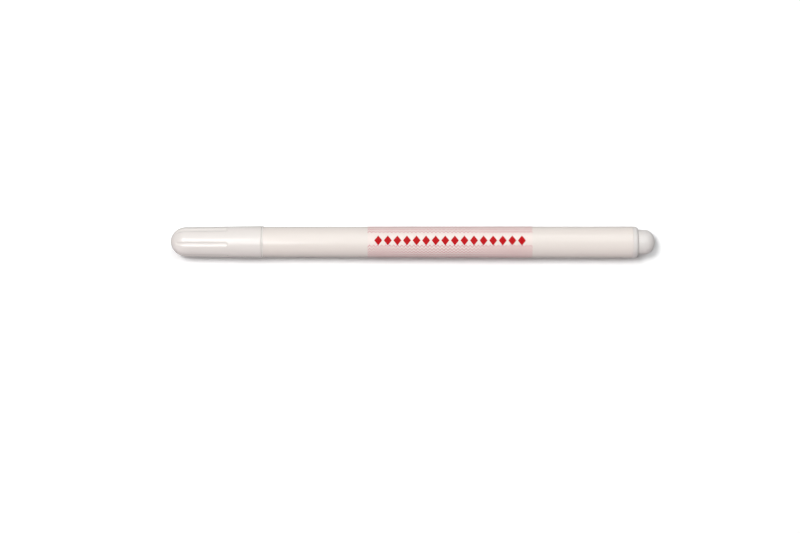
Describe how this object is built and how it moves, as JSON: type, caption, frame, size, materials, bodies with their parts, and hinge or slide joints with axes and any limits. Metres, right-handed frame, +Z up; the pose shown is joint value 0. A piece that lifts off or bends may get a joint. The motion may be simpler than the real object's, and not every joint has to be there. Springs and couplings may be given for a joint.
{
  "type": "fabric marking pen",
  "caption": "Slim water-erasable fabric marking pen with a push-on fluted cap, a fibre nib and ink reservoir inside, and a plugged rounded tail.",
  "frame": {"origin": "below the middle of the pen's length, on the surface it lies on", "axes": "+Z up, the pen's length along X with the cap at -X and the tail at +X"},
  "size_m": [0.14, 0.009, 0.009],
  "materials": {
    "cap": "moulded white polypropylene, satin gloss",
    "liner": "soft natural polyethylene",
    "barrel": "moulded warm white polypropylene, gloss",
    "label": "clear film printed with fine zigzag rows",
    "section": "moulded white polypropylene, satin gloss",
    "nib": "bonded polyester fibre wet with blue water-soluble ink",
    "reservoir": "bonded polyester fibre soaked with blue water-soluble ink",
    "film": "thin clear film",
    "plug": "moulded cool white polyethylene, satin"
  },
  "bodies": {
    "barrel": {"barrel": "barrel", "barrel_label": "label", "front_section": "section", "nib": "nib", "ink_reservoir": "reservoir", "reservoir_film": "film", "tail_plug": "plug"},
    "cap": {"cap_shell": "cap", "cap_liner": "liner"}
  },
  "joints": [
    {"name": "cap_pull", "type": "slide", "parent": "barrel", "child": "cap", "axis": [-1, 0, 0], "range_m": [0, 0.03]}
  ]
}
